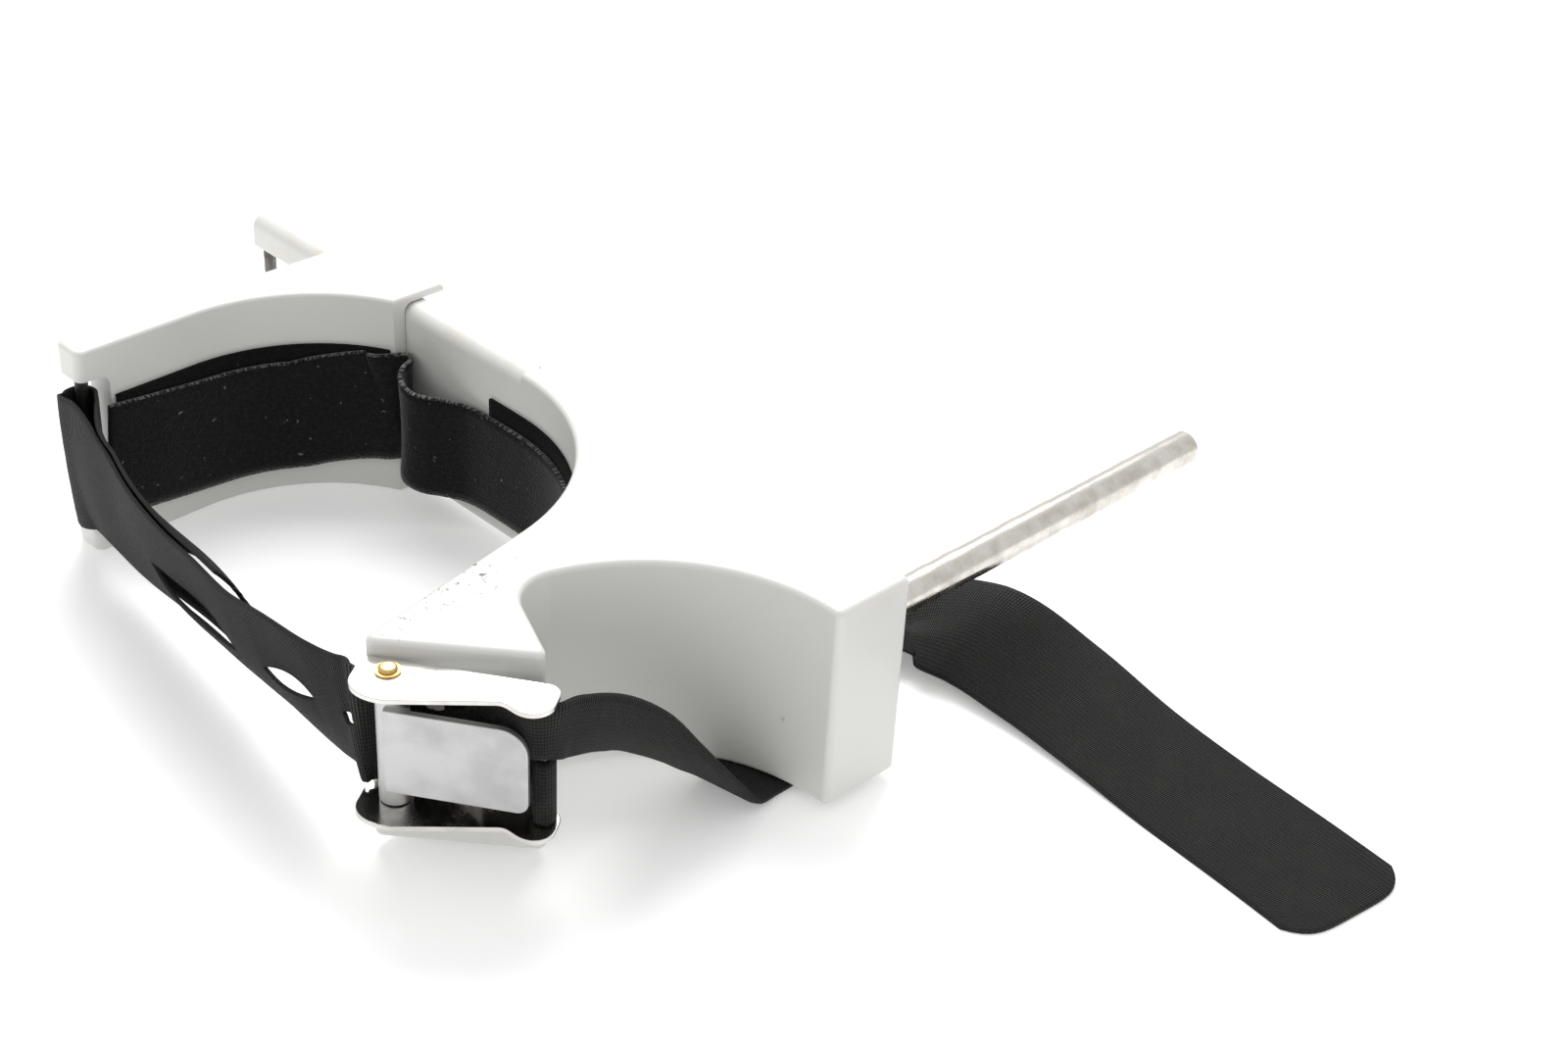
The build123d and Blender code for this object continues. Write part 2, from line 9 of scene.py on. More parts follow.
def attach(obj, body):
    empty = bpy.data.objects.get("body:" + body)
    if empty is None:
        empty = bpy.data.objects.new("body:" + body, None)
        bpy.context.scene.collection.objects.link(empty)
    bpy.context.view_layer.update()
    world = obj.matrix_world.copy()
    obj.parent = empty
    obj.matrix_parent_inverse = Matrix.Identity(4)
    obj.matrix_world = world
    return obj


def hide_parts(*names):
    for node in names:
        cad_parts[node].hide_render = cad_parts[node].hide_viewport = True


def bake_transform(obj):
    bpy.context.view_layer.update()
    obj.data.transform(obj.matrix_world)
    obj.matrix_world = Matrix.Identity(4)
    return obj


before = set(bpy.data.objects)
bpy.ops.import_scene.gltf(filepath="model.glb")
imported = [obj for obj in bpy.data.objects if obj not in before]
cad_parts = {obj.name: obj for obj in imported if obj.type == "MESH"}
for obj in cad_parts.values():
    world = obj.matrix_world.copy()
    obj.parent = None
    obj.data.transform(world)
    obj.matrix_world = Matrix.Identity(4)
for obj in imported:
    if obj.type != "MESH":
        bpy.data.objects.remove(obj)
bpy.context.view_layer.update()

# Leg holder for an operating table. Sizes are worked in mm in the part's frame and turned into
# metres when a mesh is made. +X runs along the rail, +Y is the way the post points, +Z is up.

MM = 0.001

# ---- sizes of the cloth, and places on the castings -------------------------------------
floor_z = -50.8
web = 1.6                     # thickness of the webbing
strap_width = 63.5
anchor_width = 25.4
band_width = 50.8             # soft band and hook strips
band_thickness = 2.0
hook_thickness = 1.5
layer_gap = 2.0               # between the middles of two webbing layers
fuller = 1.1                  # the soft band on the jaw and the narrow loop swell this much
lowest = floor_z + web / 2 + 0.05    # lowest middle of a band that lies on the floor

ring_centre = np.array((-182.0, -113.9))
ring_radius = 100.0
rail_front = -13.9
jaw_centre = np.array((-228.7, -94.51))
jaw_radius = 82.7
arm_corner = np.array((-64.641, -185.055))
arm_turn = 41.2
pin = np.array((-48.960, -183.687))
buckle_turn = 34.6
hook_start = -203.0
hook_arm = 82.0               # straight part of the fixed hook strip


def compass(angle):
    """Unit vector in plan at an angle from +X, in degrees."""
    return np.array((math.cos(math.radians(angle)), math.sin(math.radians(angle))))


def local(origin, turn, x, y):
    """Plan point given in the coordinates of a turned place."""
    return origin + compass(turn) * x + compass(turn + 90) * y


def station(point, z, side=(0, 0, 1), fold=0, curl=0, narrow=1, lift=0):
    """One place a band goes through: its middle, its width's direction and its section."""
    return [point[0], point[1], z, *side, fold, curl, narrow, lift]


# ---- bands of cloth ---------------------------------------------------------------------
def run_through(stations, spacing):
    """Smooth run through the stations, with rows spaced evenly along its length."""
    points = np.asarray(stations, float)
    gaps = np.linalg.norm(np.diff(points[:, :3], axis=0), axis=1)
    slopes = np.diff(points, axis=0) / gaps[:, None]
    before, after = gaps[:-1, None], gaps[1:, None]
    tangents = np.vstack([
        slopes[:1],
        (slopes[:-1] * after + slopes[1:] * before) / (before + after),
        slopes[-1:],
    ])
    share = np.linspace(0, 1, 24, endpoint=False)[:, None]
    pieces = []
    for k, gap in enumerate(gaps):
        pieces.append(
            (2 * share**3 - 3 * share**2 + 1) * points[k]
            + (share**3 - 2 * share**2 + share) * gap * tangents[k]
            + (3 * share**2 - 2 * share**3) * points[k + 1]
            + (share**3 - share**2) * gap * tangents[k + 1]
        )
    fine = np.vstack(pieces + [points[-1:]])
    steps = np.linalg.norm(np.diff(fine[:, :3], axis=0), axis=1)
    length = np.concatenate([[0], np.cumsum(steps)])
    along = np.linspace(0, length[-1], int(length[-1] / spacing) + 1)
    run = np.column_stack([np.interp(along, length, column) for column in fine.T])
    return run, along


def on_run(run, along, at, across, width, lips):
    """Points of a band at distances along it and shares of its width across it."""
    here = np.column_stack([np.interp(at, along, column) for column in run.T])
    headings = np.gradient(run[:, :3], along, axis=0)
    heading = np.column_stack([np.interp(at, along, column) for column in headings.T])
    heading /= np.linalg.norm(heading, axis=1)[:, None]
    side = here[:, 3:6]
    side = side - heading * np.sum(side * heading, axis=1)[:, None]
    side /= np.linalg.norm(side, axis=1)[:, None]
    face = np.cross(heading, side)
    fold, curl, narrow, lift = here[:, 6:].T
    swing = math.pi * np.clip(fold, 0, 1)
    turned = np.clip(across, 0, None)
    offset = np.clip(across, None, 0) + turned * np.cos(swing) + (1 - np.cos(swing)) / 8
    raised = np.minimum(turned * width * narrow * np.sin(swing), lift)
    spread = layer_gap / 2 * np.clip(fold, 0, 1) * np.clip(across / 0.05, -1, 1)
    bulge = curl * (1 - 4 * across**2) - raised - spread - lips
    return here[:, :3] + side * (offset * width * narrow)[:, None] + face * bulge[:, None]


def band(name, stations, width, thickness, spacing, rows, shape=None, openings=()):
    """A strip of cloth along a run. shape moves its points.

    openings are slits along its middle: each has where it starts and ends along the run, how
    wide it gapes, and which way its lips lean, 1 or -1.
    """
    run, along = run_through(stations, spacing)
    steps = len(along) - 1
    mesh = bpy.data.meshes.new(name)
    made = bmesh.new()
    cloth = made.loops.layers.uv.new("cloth")
    bmesh.ops.create_grid(made, x_segments=steps, y_segments=rows, size=0.5, calc_uvs=True)
    made.verts.ensure_lookup_table()
    flat = np.array([vert.co for vert in made.verts])
    at = (flat[:, 0] + 0.5) * along[-1]
    across = flat[:, 1].copy()
    for face in made.faces:
        for loop in face.loops:
            spot = loop.vert.co
            loop[cloth].uv = ((spot.x + 0.5) * along[-1] * MM, spot.y * width * MM)
    worn = []
    lips = np.zeros(len(across))
    for start, end, wide, lean in openings:
        first, last = int(start / spacing), int(end / spacing)
        inside = (at > first * spacing - 0.1) & (at < last * spacing + 0.1)
        share = np.clip((at - first * spacing) / ((last - first) * spacing), 0, 1)
        edge = np.abs(across) < 0.6 / rows
        parted = (0.15 + wide / 2 * np.sin(math.pi * share) ** 0.6) / width
        away = np.sign(across) * lean * wide * 0.45 * np.sin(math.pi * share)
        lips += np.where(inside, away * np.clip(1 - 2 * np.abs(across), 0, 1), 0)
        across = np.where(inside & edge, np.sign(across) * parted, across)
        for face in made.faces:
            middle = face.calc_center_median()
            place = (middle.x + 0.5) * along[-1]
            if abs(middle.y) < 0.1 / rows and first * spacing < place < last * spacing:
                worn.append(face)
    if shape:
        at, across = shape(at, across, along[-1])
    places = on_run(run, along, at, across, width, lips)
    places[:, 2] = np.maximum(places[:, 2], lowest)
    for vert, place in zip(made.verts, places):
        vert.co = Vector(place) * MM
    bmesh.ops.delete(made, geom=worn, context="FACES")
    made.to_mesh(mesh)
    made.free()
    piece = bpy.data.objects.new(name, mesh)
    bpy.context.scene.collection.objects.link(piece)
    for polygon in mesh.polygons:
        polygon.use_smooth = True
    solid = piece.modifiers.new("thickness", "SOLIDIFY")
    solid.thickness = thickness * MM
    solid.offset = 0
    solid.use_even_offset = False
    return piece, run, along


# ---- strap ------------------------------------------------------------------------------
strap_spacing = 2.0
strap_rows = 25
second_layer_end = 166        # distance along the run where the sewn second layer stops
second_layer_out = -2.2
second_layer_up = 1.2
run_start = np.array((-323.0, -158.5))
run_way = np.array((0.9945, -0.1048))
run_out = np.array((-0.1048, -0.9945))
# distance along the run, then how far out and how high its top and bottom edges are
strap_edges = np.array([
    (5, 0, 27.5, 0, -35.5),
    (20, 1, 30.5, 0, -31),
    (40, 3, 27.5, -1, -31.5),
    (62, 6, 26.5, -3, -34.5),
    (90, 10, 25.2, -5, -33.6),
    (118, 11, 23.5, -6, -30.9),
    (150, 11.7, 25.6, -6, -28.6),
    (180, 11.7, 26, -6, -26.6),
    (210, 10.5, 31.2, -5, -24.1),
    (235, 6, 31.5, -4, -20.9),
    (252, 2.5, 33.2, -2, -16.5),
    (263, 1, 36, 1.5, -15.5),
])


def edge_station(distance, out=0.0, up=0.0):
    """A station of the strap's straight run, from its two edges."""
    top_out, top, low_out, low = [np.interp(distance, strap_edges[:, 0], column)
                                  for column in strap_edges[:, 1:].T]
    centre = run_start + run_way * distance + run_out * ((top_out + low_out) / 2 + out)
    wide = math.hypot(top_out - low_out, top - low)
    lean = run_out * (top_out - low_out) / wide
    tall = (top - low) / wide
    slack = max(0.0, 1 - wide / strap_width)
    loose = float(np.interp(distance, (190, 250), (0.27, 0.03)))
    curl = loose * strap_width * math.sqrt(slack)
    return station(centre, (top + low) / 2 + up, (lean[0], lean[1], tall), 0, curl,
                   wide / strap_width)


def strap_stations():
    """The whole strap: second layer, round the bar, run, buckle, tail."""
    second = [edge_station(distance, second_layer_out, second_layer_up)
              for distance in (second_layer_end, 150, 118, 90, 62, 44)]
    wrap = [
        station((-297.5, -155.0), -2.5),
        station((-307.5, -149.2), -3.6),
        station((-316.0, -145.6), -4.3),
        station((-320.0, -145.9), -4.4),
        station((-322.9, -148.6), -4.4),
        station((-323.2, -152.6), -4.3),
        station((-321.8, -156.6), -4.2),
    ]
    main = [edge_station(distance) for distance in strap_edges[:, 0]]
    # along and across the buckle, height, share of the fold, share of the width, and how far
    # the turned half stands off
    inside = [
        (-8, 6.5, 10.2, 0, 0.81, 0),
        (8, 8.6, 10.2, 0.05, 0.81, 3),
        (20, 8.6, 12.5, 0.3, 0.8, 3),
        (34, 5.0, 18.0, 0.65, 0.74, 3),
        (48, -0.6, 24.5, 0.95, 0.7, 1),
        (57.5, -3.6, 25.7, 1, 0.7, 0),
    ]
    buckle = [station(local(pin, buckle_turn, u, v), z, (0, 0, 1), fold, 0, narrow, lift)
              for u, v, z, fold, narrow, lift in inside]
    front = [
        station((2.6, -149.4), 25.6, (0, 0, 1), 1, 0, 0.72),
        station((1.6, -138), 22, (0.1, 0, 1), 1, 0, 0.82),
        station((1.2, -124), 16, (0.3, 0.1, 0.95), 1, 0, 0.93),
        station((2.0, -108), 5, (0.55, 0.15, 0.8), 1),
        station((3.0, -93), -10, (0.8, 0.15, 0.55), 1),
        station((4.0, -79), -25, (0.93, 0.1, 0.35), 1),
        station((4.5, -68), -37, (0.97, 0.05, 0.25), 1),
        station((4.0, -57.5), -47.2, (1, 0, 0.1), 1),
    ]
    under = [
        station((2, -46), -48.75, (1, 0, 0), 1),
        station((0, -20), -48.7, (1, -0.05, 0), 1),
        station((-8, 0), -48.7, (1, -0.15, 0), 1),
        station((-17, 19), -48.5, (0.97, -0.25, 0), 1),
    ]
    back = [
        station((-29, 40), -47, (0.85, -0.45, -0.12), 0.62, 0, 1, 8),
        station((-24, 72), -43, (0.45, -0.85, -0.22), 0.2, -2, 1, 7),
        station((4, 88), -38, (0.1, -0.97, -0.2), 0, -5, 1),
        station((42, 91), -43, (-0.05, -0.99, -0.1), 0, -4, 1),
        station((85, 88.5), -48, (-0.1, -0.995, 0), 0, -1.5, 1),
        station((130, 83.5), -49.9, (-0.1, -0.995, 0), 0, 0, 1),
        station((172, 79), -49.9, (-0.1, -0.995, 0), 0, 0, 1),
        station((214, 73.5), -49.9, (-0.1, -0.995, 0), 0, 0, 1),
    ]
    return second + wrap + main + buckle + front + under + back


def trim_strap(at, across, length):
    """Ragged sewn end at the start, rounded corners at the free end."""
    near_start = np.clip(1 - at / 8, 0, 1)
    ragged = 1.6 * np.sin(across * 61) + 1.1 * np.sin(across * 143 + 1)
    near_end = np.clip((at - (length - 40)) / 40, 0, 1)
    corner = 11 * np.abs(2 * across) ** 5
    at = at + near_start * (1.5 + ragged) - near_end * corner
    return np.clip(at, 0, length), across


stations = strap_stations()
rough_run, rough_along = run_through(stations, strap_spacing)
forward = np.gradient(rough_run[:, 0]) > 0


def along_strap(distance):
    """Length of strap up to a place on its straight run."""
    spot = edge_station(distance)[:3]
    away = np.linalg.norm(rough_run[:, :3] - spot, axis=1) + np.where(forward, 0, 1000)
    return rough_along[int(np.argmin(away))]


# start and end on the straight run, how wide it gapes and which way its lips lean
outer_slits = [
    (98, 178, 6.0, 1),
    (199, 231, 5.0, 1),
    (250, 261, 3.0, 1),
]
slits = [(along_strap(start), along_strap(end), wide, lean)
         for start, end, wide, lean in outer_slits]
inner_slit_end = 100.0        # the second layer's slit reaches this far along the run
slits.append((3.0, second_layer_end - inner_slit_end, 7.5, -1))
strap, _, strap_along = band("thigh_strap", stations, strap_width, web, strap_spacing,
                             strap_rows, trim_strap, slits)


# ---- hook strips and soft band ------------------------------------------------------------
def jaw_line(offset, first, last, count):
    """Plan points on an arc inside the jaw, from its tip towards the rail."""
    angles = np.linspace(first, last, count)
    return [jaw_centre + compass(a) * (jaw_radius - offset) for a in angles]


def ring_line(offset, reach):
    """Plan points inside the half ring and along the arm."""
    arc = [ring_centre + compass(a) * (ring_radius - offset) for a in np.linspace(90, 12, 14)]
    arm = [arc[-1] + compass(-78) * d for d in np.linspace(0, reach, 6)[1:]]
    return arc + arm


hook_offset = hook_thickness / 2 + 0.1
jaw_tip_wall = ((-309.7, -139.0), (-310.9, -110.0))
jaw_hook_points = [np.array((x + hook_offset, y)) for x, y in jaw_tip_wall]
jaw_hook_points += jaw_line(hook_offset, 180, 118, 12)
jaw_hook, _, jaw_hook_along = band(
    "jaw_hook_strip", [station(p, 0) for p in jaw_hook_points], band_width,
    hook_thickness, 3.0, 8)
rail_hook_points = [np.array((hook_start, rail_front - hook_offset))]
rail_hook_points += ring_line(hook_offset, hook_arm)
rail_hook, _, rail_hook_along = band(
    "ring_hook_strip", [station(p, 0) for p in rail_hook_points], band_width,
    hook_thickness, 3.0, 8)

soft_offset = hook_thickness + band_thickness / 2 + 0.2
soft_height = -8.4            # middle of the soft band in the half ring
jaw_soft_height = -10.5       # and in the jaw, up to where it climbs to the rail
jaw_soft_climb = 7.5
soft_tip = [
    (-306.9, -147, -5.4),
    (-308.0, -122, -8.0),
]
soft_path = [station((x, y), z, narrow=fuller) for x, y, z in soft_tip]
for k, point in enumerate(jaw_line(soft_offset, 178, 120.5, 9)):
    height = jaw_soft_height + jaw_soft_climb * max(0, k - 4) / 4
    soft_path.append(station(point, height, narrow=fuller))
# the slack fold across the rail, between the jaw and the half ring
slack = [
    (-264.2, -22.4, -0.6),
    (-262.4, -18.9, -0.5),
    (-259.6, -17.0, -0.5),
    (-256.8, -18.4, -0.8),
    (-254.6, -22.6, -1.4),
    (-250.5, -28.1, -2.6),
    (-246.5, -30.5, -3.8),
    (-240.5, -31.7, -5.4),
    (-234.0, -29.5, -6.8),
    (-227.0, -23.8, -7.8),
    (-217.6, -18.3, -8.4),
    (-208.5, -16.8, -8.4),
    (-200.0, rail_front - soft_offset, soft_height),
]
soft_path += [station((x, y), z) for x, y, z in slack]
soft_path += [station(p, soft_height) for p in ring_line(soft_offset, hook_arm + 2)]
soft_band, _, soft_along = band("soft_band", soft_path, band_width, band_thickness, 2.0, 12)


# ---- narrow loop that holds the buckle to the arm ------------------------------------------
loop_points = [(63.9, 1.5), (63.7, -2.5), (64.5, -8.5), (66.7, -14.4), (67.8, -17.6),
               (70.4, -18.75), (73.2, -17.4), (74.1, -14.6), (72.0, -9.0), (67.8, -3.6),
               (66.0, 1.5)]
loop_height = -3.2
loop_path = [station(local(arm_corner, arm_turn, x, y), loop_height, narrow=fuller)
             for x, y in loop_points]
anchor, _, anchor_along = band("anchor_webbing", loop_path, anchor_width, web, 1.0, 10)


# ---- node groups --------------------------------------------------------------------------
def new_group(name, inputs, outputs):
    """Empty shader group with named sockets."""
    tree = bpy.data.node_groups.new(name, "ShaderNodeTree")
    for label, kind, value in inputs:
        socket = tree.interface.new_socket(label, in_out="INPUT", socket_type=kind)
        if value is not None:
            socket.default_value = value
    for label, kind in outputs:
        tree.interface.new_socket(label, in_out="OUTPUT", socket_type=kind)
    return tree, tree.nodes.new("NodeGroupInput"), tree.nodes.new("NodeGroupOutput")


def patches_group():
    """Uneven mask: 0 below Low, 1 above High."""
    tree, start, end = new_group(
        "Patches",
        [("Vector", "NodeSocketVector", None), ("Scale", "NodeSocketFloat", 30.0),
         ("Low", "NodeSocketFloat", 0.45), ("High", "NodeSocketFloat", 0.6)],
        [("Mask", "NodeSocketFloat")])
    noise = tree.nodes.new("ShaderNodeTexNoise")
    noise.inputs["Detail"].default_value = 6
    noise.inputs["Roughness"].default_value = 0.6
    ramp = tree.nodes.new("ShaderNodeMapRange")
    tree.links.new(start.outputs["Vector"], noise.inputs["Vector"])
    tree.links.new(start.outputs["Scale"], noise.inputs["Scale"])
    tree.links.new(noise.outputs["Fac"], ramp.inputs["Value"])
    tree.links.new(start.outputs["Low"], ramp.inputs["From Min"])
    tree.links.new(start.outputs["High"], ramp.inputs["From Max"])
    tree.links.new(ramp.outputs["Result"], end.inputs["Mask"])
    return tree


def grain_group():
    """Fine unevenness as a normal."""
    tree, start, end = new_group(
        "Grain",
        [("Vector", "NodeSocketVector", None), ("Scale", "NodeSocketFloat", 800.0),
         ("Depth", "NodeSocketFloat", 0.0001)],
        [("Normal", "NodeSocketVector")])
    noise = tree.nodes.new("ShaderNodeTexNoise")
    noise.inputs["Detail"].default_value = 3
    bump = tree.nodes.new("ShaderNodeBump")
    tree.links.new(start.outputs["Vector"], noise.inputs["Vector"])
    tree.links.new(start.outputs["Scale"], noise.inputs["Scale"])
    tree.links.new(noise.outputs["Fac"], bump.inputs["Height"])
    tree.links.new(start.outputs["Depth"], bump.inputs["Distance"])
    tree.links.new(bump.outputs["Normal"], end.inputs["Normal"])
    return tree


def ribs_group():
    """Woven ribs on the cloth's own coordinates: a height, and a shade for painted light that is
    lighter on the rib crests.
    """
    tree, start, end = new_group(
        "Ribs",
        [("Vector", "NodeSocketVector", None), ("Along", "NodeSocketFloat", 0.00095),
         ("Across", "NodeSocketFloat", 0.0016)],
        [("Height", "NodeSocketFloat"), ("Shade", "NodeSocketFloat")])
    parts = tree.nodes.new("ShaderNodeSeparateXYZ")
    tree.links.new(start.outputs["Vector"], parts.inputs["Vector"])
    waves = []
    for axis, pitch in (("X", "Along"), ("Y", "Across")):
        share = tree.nodes.new("ShaderNodeMath")
        share.operation = "DIVIDE"
        tree.links.new(parts.outputs[axis], share.inputs[0])
        tree.links.new(start.outputs[pitch], share.inputs[1])
        turn = tree.nodes.new("ShaderNodeMath")
        turn.operation = "MULTIPLY"
        turn.inputs[1].default_value = 2 * math.pi
        tree.links.new(share.outputs[0], turn.inputs[0])
        wave = tree.nodes.new("ShaderNodeMath")
        wave.operation = "SINE"
        tree.links.new(turn.outputs[0], wave.inputs[0])
        waves.append(wave)
    height = tree.nodes.new("ShaderNodeMath")
    height.operation = "MULTIPLY_ADD"
    height.inputs[1].default_value = 0.35
    tree.links.new(waves[1].outputs[0], height.inputs[0])
    tree.links.new(waves[0].outputs[0], height.inputs[2])
    shade = tree.nodes.new("ShaderNodeMapRange")
    shade.inputs["From Min"].default_value = -1.35
    shade.inputs["From Max"].default_value = 1.35
    tree.links.new(height.outputs[0], shade.inputs["Value"])
    tree.links.new(height.outputs[0], end.inputs["Height"])
    tree.links.new(shade.outputs["Result"], end.inputs["Shade"])
    return tree


patches = patches_group()
grain = grain_group()
ribs = ribs_group()


# ---- materials ----------------------------------------------------------------------------
class Finish:
    """A material under construction."""

    def __init__(self, name, colour, roughness, metallic=0.0, coat=0.0, sheen=0.0, shine=0.5,
                 uv=False):
        self.material = bpy.data.materials.new(name)
        self.material.use_nodes = True
        self.tree = self.material.node_tree
        self.tree.nodes.clear()
        self.shader = self.add("ShaderNodeBsdfPrincipled")
        output = self.add("ShaderNodeOutputMaterial")
        self.link(self.shader.outputs["BSDF"], output.inputs["Surface"])
        self.shader.inputs["Metallic"].default_value = metallic
        self.shader.inputs["Coat Weight"].default_value = coat
        self.shader.inputs["Coat Roughness"].default_value = 0.15
        self.shader.inputs["Specular IOR Level"].default_value = shine
        self.shader.inputs["Sheen Weight"].default_value = sheen
        self.shader.inputs["Sheen Roughness"].default_value = 0.4
        coordinates = self.add("ShaderNodeTexCoord")
        self.vector = coordinates.outputs["UV" if uv else "Object"]
        tone = self.add("ShaderNodeRGB")
        tone.outputs[0].default_value = (*colour, 1)
        level = self.add("ShaderNodeValue")
        level.outputs[0].default_value = roughness
        self.colour = tone.outputs[0]
        self.roughness = level.outputs[0]
        self.link(self.colour, self.shader.inputs["Base Color"])
        self.link(self.roughness, self.shader.inputs["Roughness"])

    def add(self, kind):
        """A new node."""
        return self.tree.nodes.new(kind)

    def link(self, output, socket):
        """Join two sockets."""
        self.tree.links.new(output, socket)

    def group(self, tree, **values):
        """A node group on the material's coordinates."""
        node = self.add("ShaderNodeGroup")
        node.node_tree = tree
        self.link(self.vector, node.inputs["Vector"])
        for label, value in values.items():
            node.inputs[label].default_value = value
        return node

    def patch(self, scale, low, high):
        """An uneven mask."""
        return self.group(patches, Scale=scale, Low=low, High=high).outputs["Mask"]

    def within(self, axis, low, high):
        """A mask that rises from 0 to 1 between two places on an axis, in metres."""
        parts = self.add("ShaderNodeSeparateXYZ")
        self.link(self.vector, parts.inputs["Vector"])
        ramp = self.add("ShaderNodeMapRange")
        ramp.inputs["From Min"].default_value = low
        ramp.inputs["From Max"].default_value = high
        self.link(parts.outputs[axis], ramp.inputs["Value"])
        return ramp.outputs["Result"]

    def both(self, first, second):
        """Product of two masks."""
        node = self.add("ShaderNodeMath")
        node.operation = "MULTIPLY"
        self.link(first, node.inputs[0])
        if isinstance(second, float):
            node.inputs[1].default_value = second
        else:
            self.link(second, node.inputs[1])
        return node.outputs[0]

    def stain_or_painted_light(self, mask, colour, roughness=None):
        """Another colour, and another roughness, where the mask is 1; used for stains and wear,
        and for the painted highlight on the webbing ribs.
        """
        mix = self.add("ShaderNodeMix")
        mix.data_type = "RGBA"
        self.link(mask, mix.inputs[0])
        self.link(self.colour, mix.inputs[6])
        mix.inputs[7].default_value = (*colour, 1)
        self.colour = mix.outputs[2]
        self.link(self.colour, self.shader.inputs["Base Color"])
        if roughness is not None:
            blur = self.add("ShaderNodeMix")
            self.link(mask, blur.inputs[0])
            self.link(self.roughness, blur.inputs[2])
            blur.inputs[3].default_value = roughness
            self.roughness = blur.outputs[0]
            self.link(self.roughness, self.shader.inputs["Roughness"])

    def grain(self, scale, depth):
        """Fine unevenness of the surface."""
        node = self.group(grain, Scale=scale, Depth=depth)
        self.link(node.outputs["Normal"], self.shader.inputs["Normal"])

    def ribs(self, along, across, depth):
        """Woven ribs, on the cloth's own coordinates."""
        node = self.group(ribs, Along=along, Across=across)
        bump = self.add("ShaderNodeBump")
        bump.inputs["Distance"].default_value = depth
        self.link(node.outputs["Height"], bump.inputs["Height"])
        self.link(bump.outputs["Normal"], self.shader.inputs["Normal"])
        return node.outputs["Shade"]


def enamel():
    """Off-white baked enamel with stains near the back, chips and scuffs."""
    made = Finish("off_white_enamel", (0.64, 0.64, 0.615), 0.4, coat=0.15)
    # uneven ageing all over
    made.stain_or_painted_light(made.both(made.patch(9, 0.4, 0.7), 0.35), (0.62, 0.61, 0.57), 0.46)
    # brown stain near the top of the rail's back
    back = made.both(made.patch(45, 0.53, 0.68), made.within("Y", -0.03, -0.006))
    back = made.both(back, made.within("Z", 0.030, 0.046))
    made.stain_or_painted_light(made.both(back, 0.4), (0.58, 0.51, 0.38), 0.5)
    # small scuffs all over
    made.stain_or_painted_light(made.both(made.patch(160, 0.71, 0.75), 0.6), (0.40, 0.38, 0.34), 0.6)
    # dark chips on top of the arm
    arm = made.both(made.within("Y", -0.10, -0.12), made.within("Z", 0.0445, 0.0462))
    arm = made.both(arm, made.within("X", -0.16, -0.14))
    chips = made.both(made.patch(420, 0.60, 0.63), made.both(arm, made.within("X", -0.05, -0.07)))
    made.stain_or_painted_light(chips, (0.13, 0.12, 0.11), 0.7)
    made.grain(700, 0.00004)
    return made.material


def metal(name, colour, roughness, worn, worn_roughness, scale, grain_scale, depth):
    """Bare metal with worn patches."""
    made = Finish(name, colour, roughness, metallic=1.0)
    made.stain_or_painted_light(made.patch(scale, 0.42, 0.64), worn, worn_roughness)
    made.grain(grain_scale, depth)
    return made.material


def webbing(name, colour, pale, along, across):
    """Woven synthetic webbing, a little dusty, with painted highlights on its rib crests."""
    made = Finish(name, colour, 0.62, sheen=0.06, shine=0.16, uv=True)
    shade = made.ribs(along, across, 0.0004)
    # painted highlight: the rib crests are coloured paler where the ribs stand higher
    made.stain_or_painted_light(made.both(shade, 0.55), pale)
    made.stain_or_painted_light(made.both(made.patch(60, 0.5, 0.72), 0.25), (0.04, 0.037, 0.034), 0.75)
    return made.material


def pile(name, colour, lint, pale, scale, sheen, edges=()):
    """Looped or hooked pile with specks of lint."""
    made = Finish(name, colour, 0.9, sheen=sheen, shine=0.08, uv=True)
    made.stain_or_painted_light(made.both(made.patch(500, 0.45, 0.7), 0.35), lint)
    made.stain_or_painted_light(made.both(made.patch(230, 0.67, 0.7), 0.6), pale)
    for low, high in edges:
        fuzz = made.both(made.within("Y", low, high), made.patch(900, 0.48, 0.6))
        made.stain_or_painted_light(made.both(fuzz, 0.6), pale)
    made.grain(scale, 0.0006)
    return made.material


def plain(name, colour, roughness):
    """Moulded plastic."""
    made = Finish(name, colour, roughness)
    made.stain_or_painted_light(made.both(made.patch(20, 0.4, 0.7), 0.1), (0.5, 0.5, 0.5))
    return made.material


enamel_white = enamel()
bright_nickel = metal("bright_nickel", (0.72, 0.71, 0.68), 0.13, (0.60, 0.58, 0.54), 0.3,
                      55, 500, 0.00002)
post_nickel = metal("worn_post_nickel", (0.66, 0.64, 0.60), 0.2, (0.50, 0.47, 0.42), 0.36,
                    90, 900, 0.00003)
satin_zinc = metal("satin_zinc", (0.55, 0.55, 0.55), 0.4, (0.46, 0.46, 0.46), 0.48,
                   40, 1200, 0.00003)
brass = metal("brass", (0.72, 0.50, 0.20), 0.25, (0.48, 0.34, 0.14), 0.4, 200, 900, 0.00002)
dark_steel = metal("dark_steel", (0.16, 0.155, 0.15), 0.4, (0.1, 0.09, 0.08), 0.6,
                   150, 900, 0.00003)
strap_cloth = webbing("strap_webbing", (0.0055, 0.0053, 0.005), (0.027, 0.026, 0.025),
                      0.00095, 0.0021)
anchor_cloth = webbing("anchor_webbing_cloth", (0.006, 0.006, 0.006), (0.016, 0.015, 0.015),
                       0.00095, 0.0016)
hook_black = pile("hook_strip", (0.006, 0.006, 0.006), (0.02, 0.02, 0.02),
                  (0.06, 0.06, 0.06), 1400, 0.03)
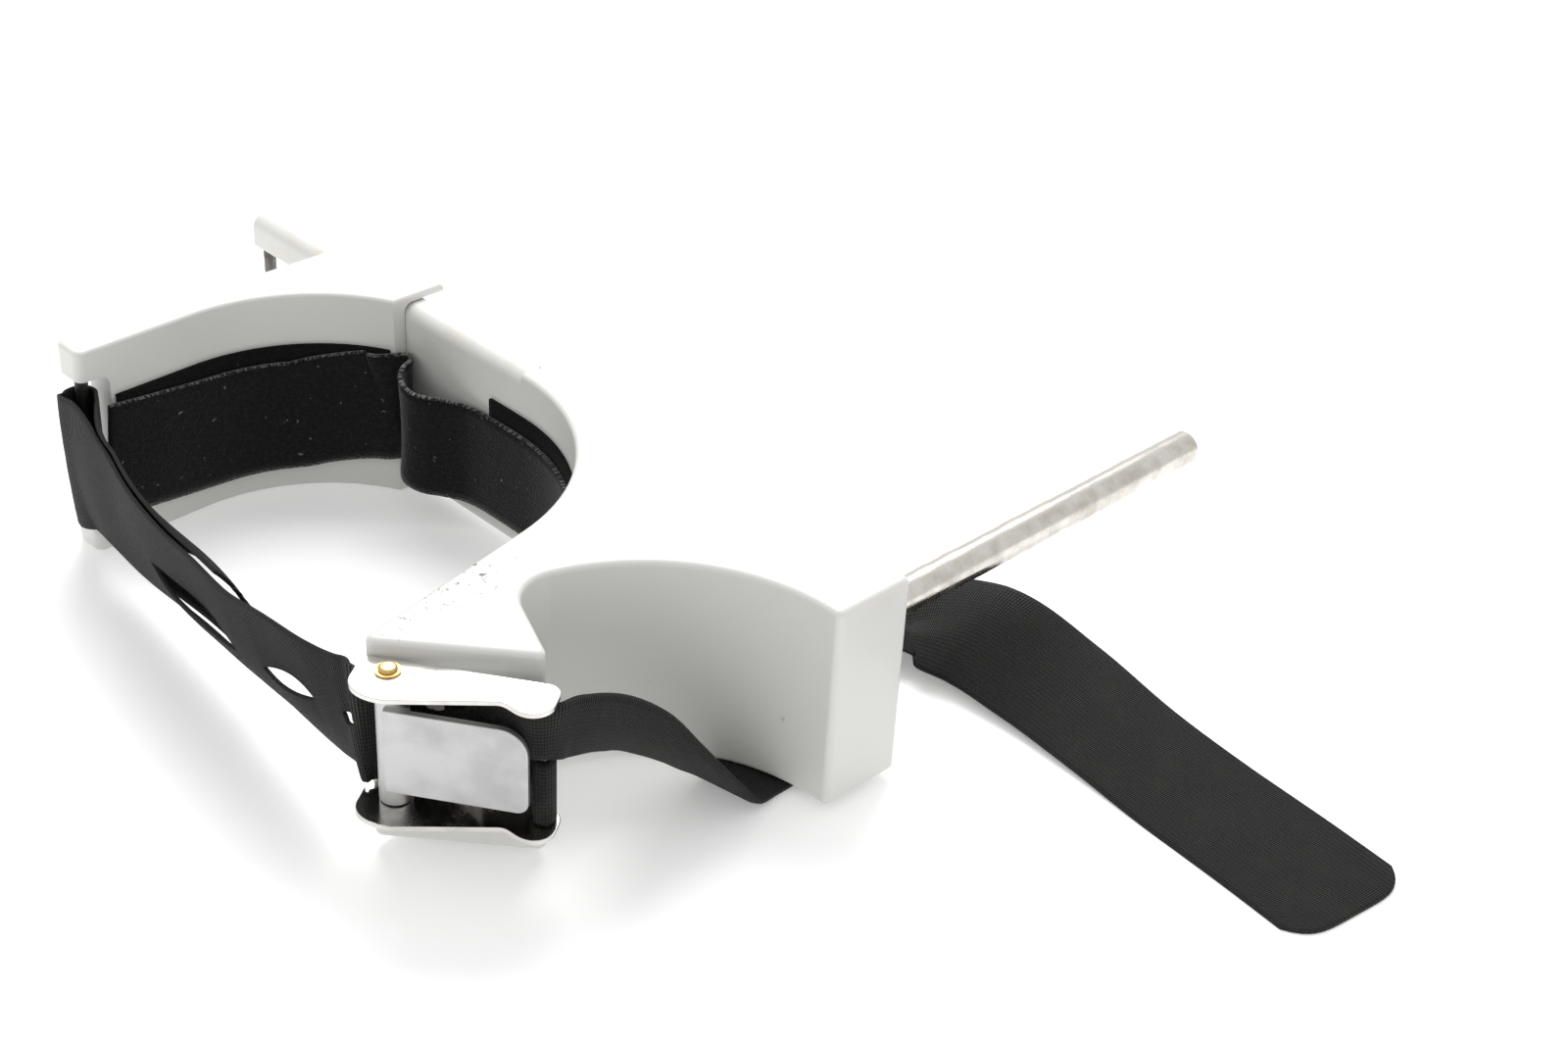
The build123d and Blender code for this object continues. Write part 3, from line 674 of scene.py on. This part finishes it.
soft_black = pile("soft_loop", (0.0075, 0.0075, 0.008), (0.03, 0.03, 0.03),
                  (0.30, 0.30, 0.29), 900, 0.22,
                  ((0.0246, 0.0252), (-0.0238, -0.0252)))
bush_plastic = plain("bush_plastic", (0.06, 0.06, 0.06), 0.45)

cad_looks = {
    "fixed_body": enamel_white,
    "sliding_jaw": enamel_white,
    "support_post": post_nickel,
    "post_lock_screw": dark_steel,
    "rail_end_pin": dark_steel,
    "strap_bar": dark_steel,
    "buckle_upper_plate": bright_nickel,
    "buckle_lower_plate": bright_nickel,
    "lever_pin": brass,
    "upper_brass_washer": brass,
    "lower_brass_washer": brass,
    "buckle_rear_bar": bright_nickel,
    "lever_bush": bush_plastic,
    "cam_lever": satin_zinc,
    "anchor_plate": dark_steel,
    "anchor_screws": dark_steel,
}
for name, look in cad_looks.items():
    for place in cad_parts[name].material_slots:
        place.material = look

for piece, look in ((strap, strap_cloth), (jaw_hook, hook_black), (rail_hook, hook_black),
                    (soft_band, soft_black), (anchor, anchor_cloth)):
    piece.data.materials.append(look)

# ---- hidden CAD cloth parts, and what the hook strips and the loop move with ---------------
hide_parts("strap_main_run", "strap_tip_loop", "strap_folded_end",
            "strap_buckle_fold", "strap_tail_front", "strap_tail_under", "strap_tail_back")
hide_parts("liner_jaw", "liner_fold", "liner_fixed")
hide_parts("jaw_hook_pad")
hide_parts("fixed_hook_pad")
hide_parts("anchor_loop")
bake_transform(strap)
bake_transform(soft_band)
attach(jaw_hook, "jaw")
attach(rail_hook, "root")
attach(anchor, "root")

# ---- floor, light and camera ----------------------------------------------------------------
ground_mesh = bpy.data.meshes.new("floor")
ground = bmesh.new()
bmesh.ops.create_grid(ground, x_segments=1, y_segments=1, size=3.0)
bmesh.ops.translate(ground, verts=ground.verts, vec=(0, 0, floor_z * MM))
ground.to_mesh(ground_mesh)
ground.free()
floor = bpy.data.objects.new("floor", ground_mesh)
bpy.context.scene.collection.objects.link(floor)
floor_look = Finish("floor_white", (0.9, 0.9, 0.9), 0.7)
floor_look.shader.inputs["Emission Color"].default_value = (1, 1, 1, 1)
floor_look.shader.inputs["Emission Strength"].default_value = 0.22
ground_mesh.materials.append(floor_look.material)

world = bpy.data.worlds.new("studio")
world.use_nodes = True
world.node_tree.nodes["Background"].inputs["Color"].default_value = (1, 1, 1, 1)
world.node_tree.nodes["Background"].inputs["Strength"].default_value = 0.9
bpy.context.scene.world = world
bpy.context.scene.view_settings.view_transform = "Standard"


def soft_light(name, place, aim, size, power):
    """Large soft lamp that looks at a point."""
    lamp = bpy.data.lights.new(name, "AREA")
    lamp.size = size
    lamp.energy = power
    holder = bpy.data.objects.new(name, lamp)
    bpy.context.scene.collection.objects.link(holder)
    away = Vector(place) - Vector(aim)
    turn = away.to_track_quat("Z", "Y").to_matrix().to_4x4()
    holder.matrix_world = Matrix.Translation(place) @ turn


soft_light("high_left", (-0.9, 0.7, 1.5), (-0.1, -0.05, 0), 1.2, 30)

camera_data = bpy.data.cameras.new("camera")
camera_data.lens = 54.54
camera_data.sensor_width = 36
camera_data.sensor_fit = "HORIZONTAL"
camera = bpy.data.objects.new("camera", camera_data)
bpy.context.scene.collection.objects.link(camera)
camera_place = (0.53097, -0.58826, 0.54828)
pan = Matrix.Rotation(math.radians(43.72), 4, "Z")
tilt = Matrix.Rotation(math.radians(90 - 32.12), 4, "X")
roll = Matrix.Rotation(math.radians(3.45), 4, "Z")
camera.matrix_world = Matrix.Translation(camera_place) @ pan @ tilt @ roll
bpy.context.scene.camera = camera
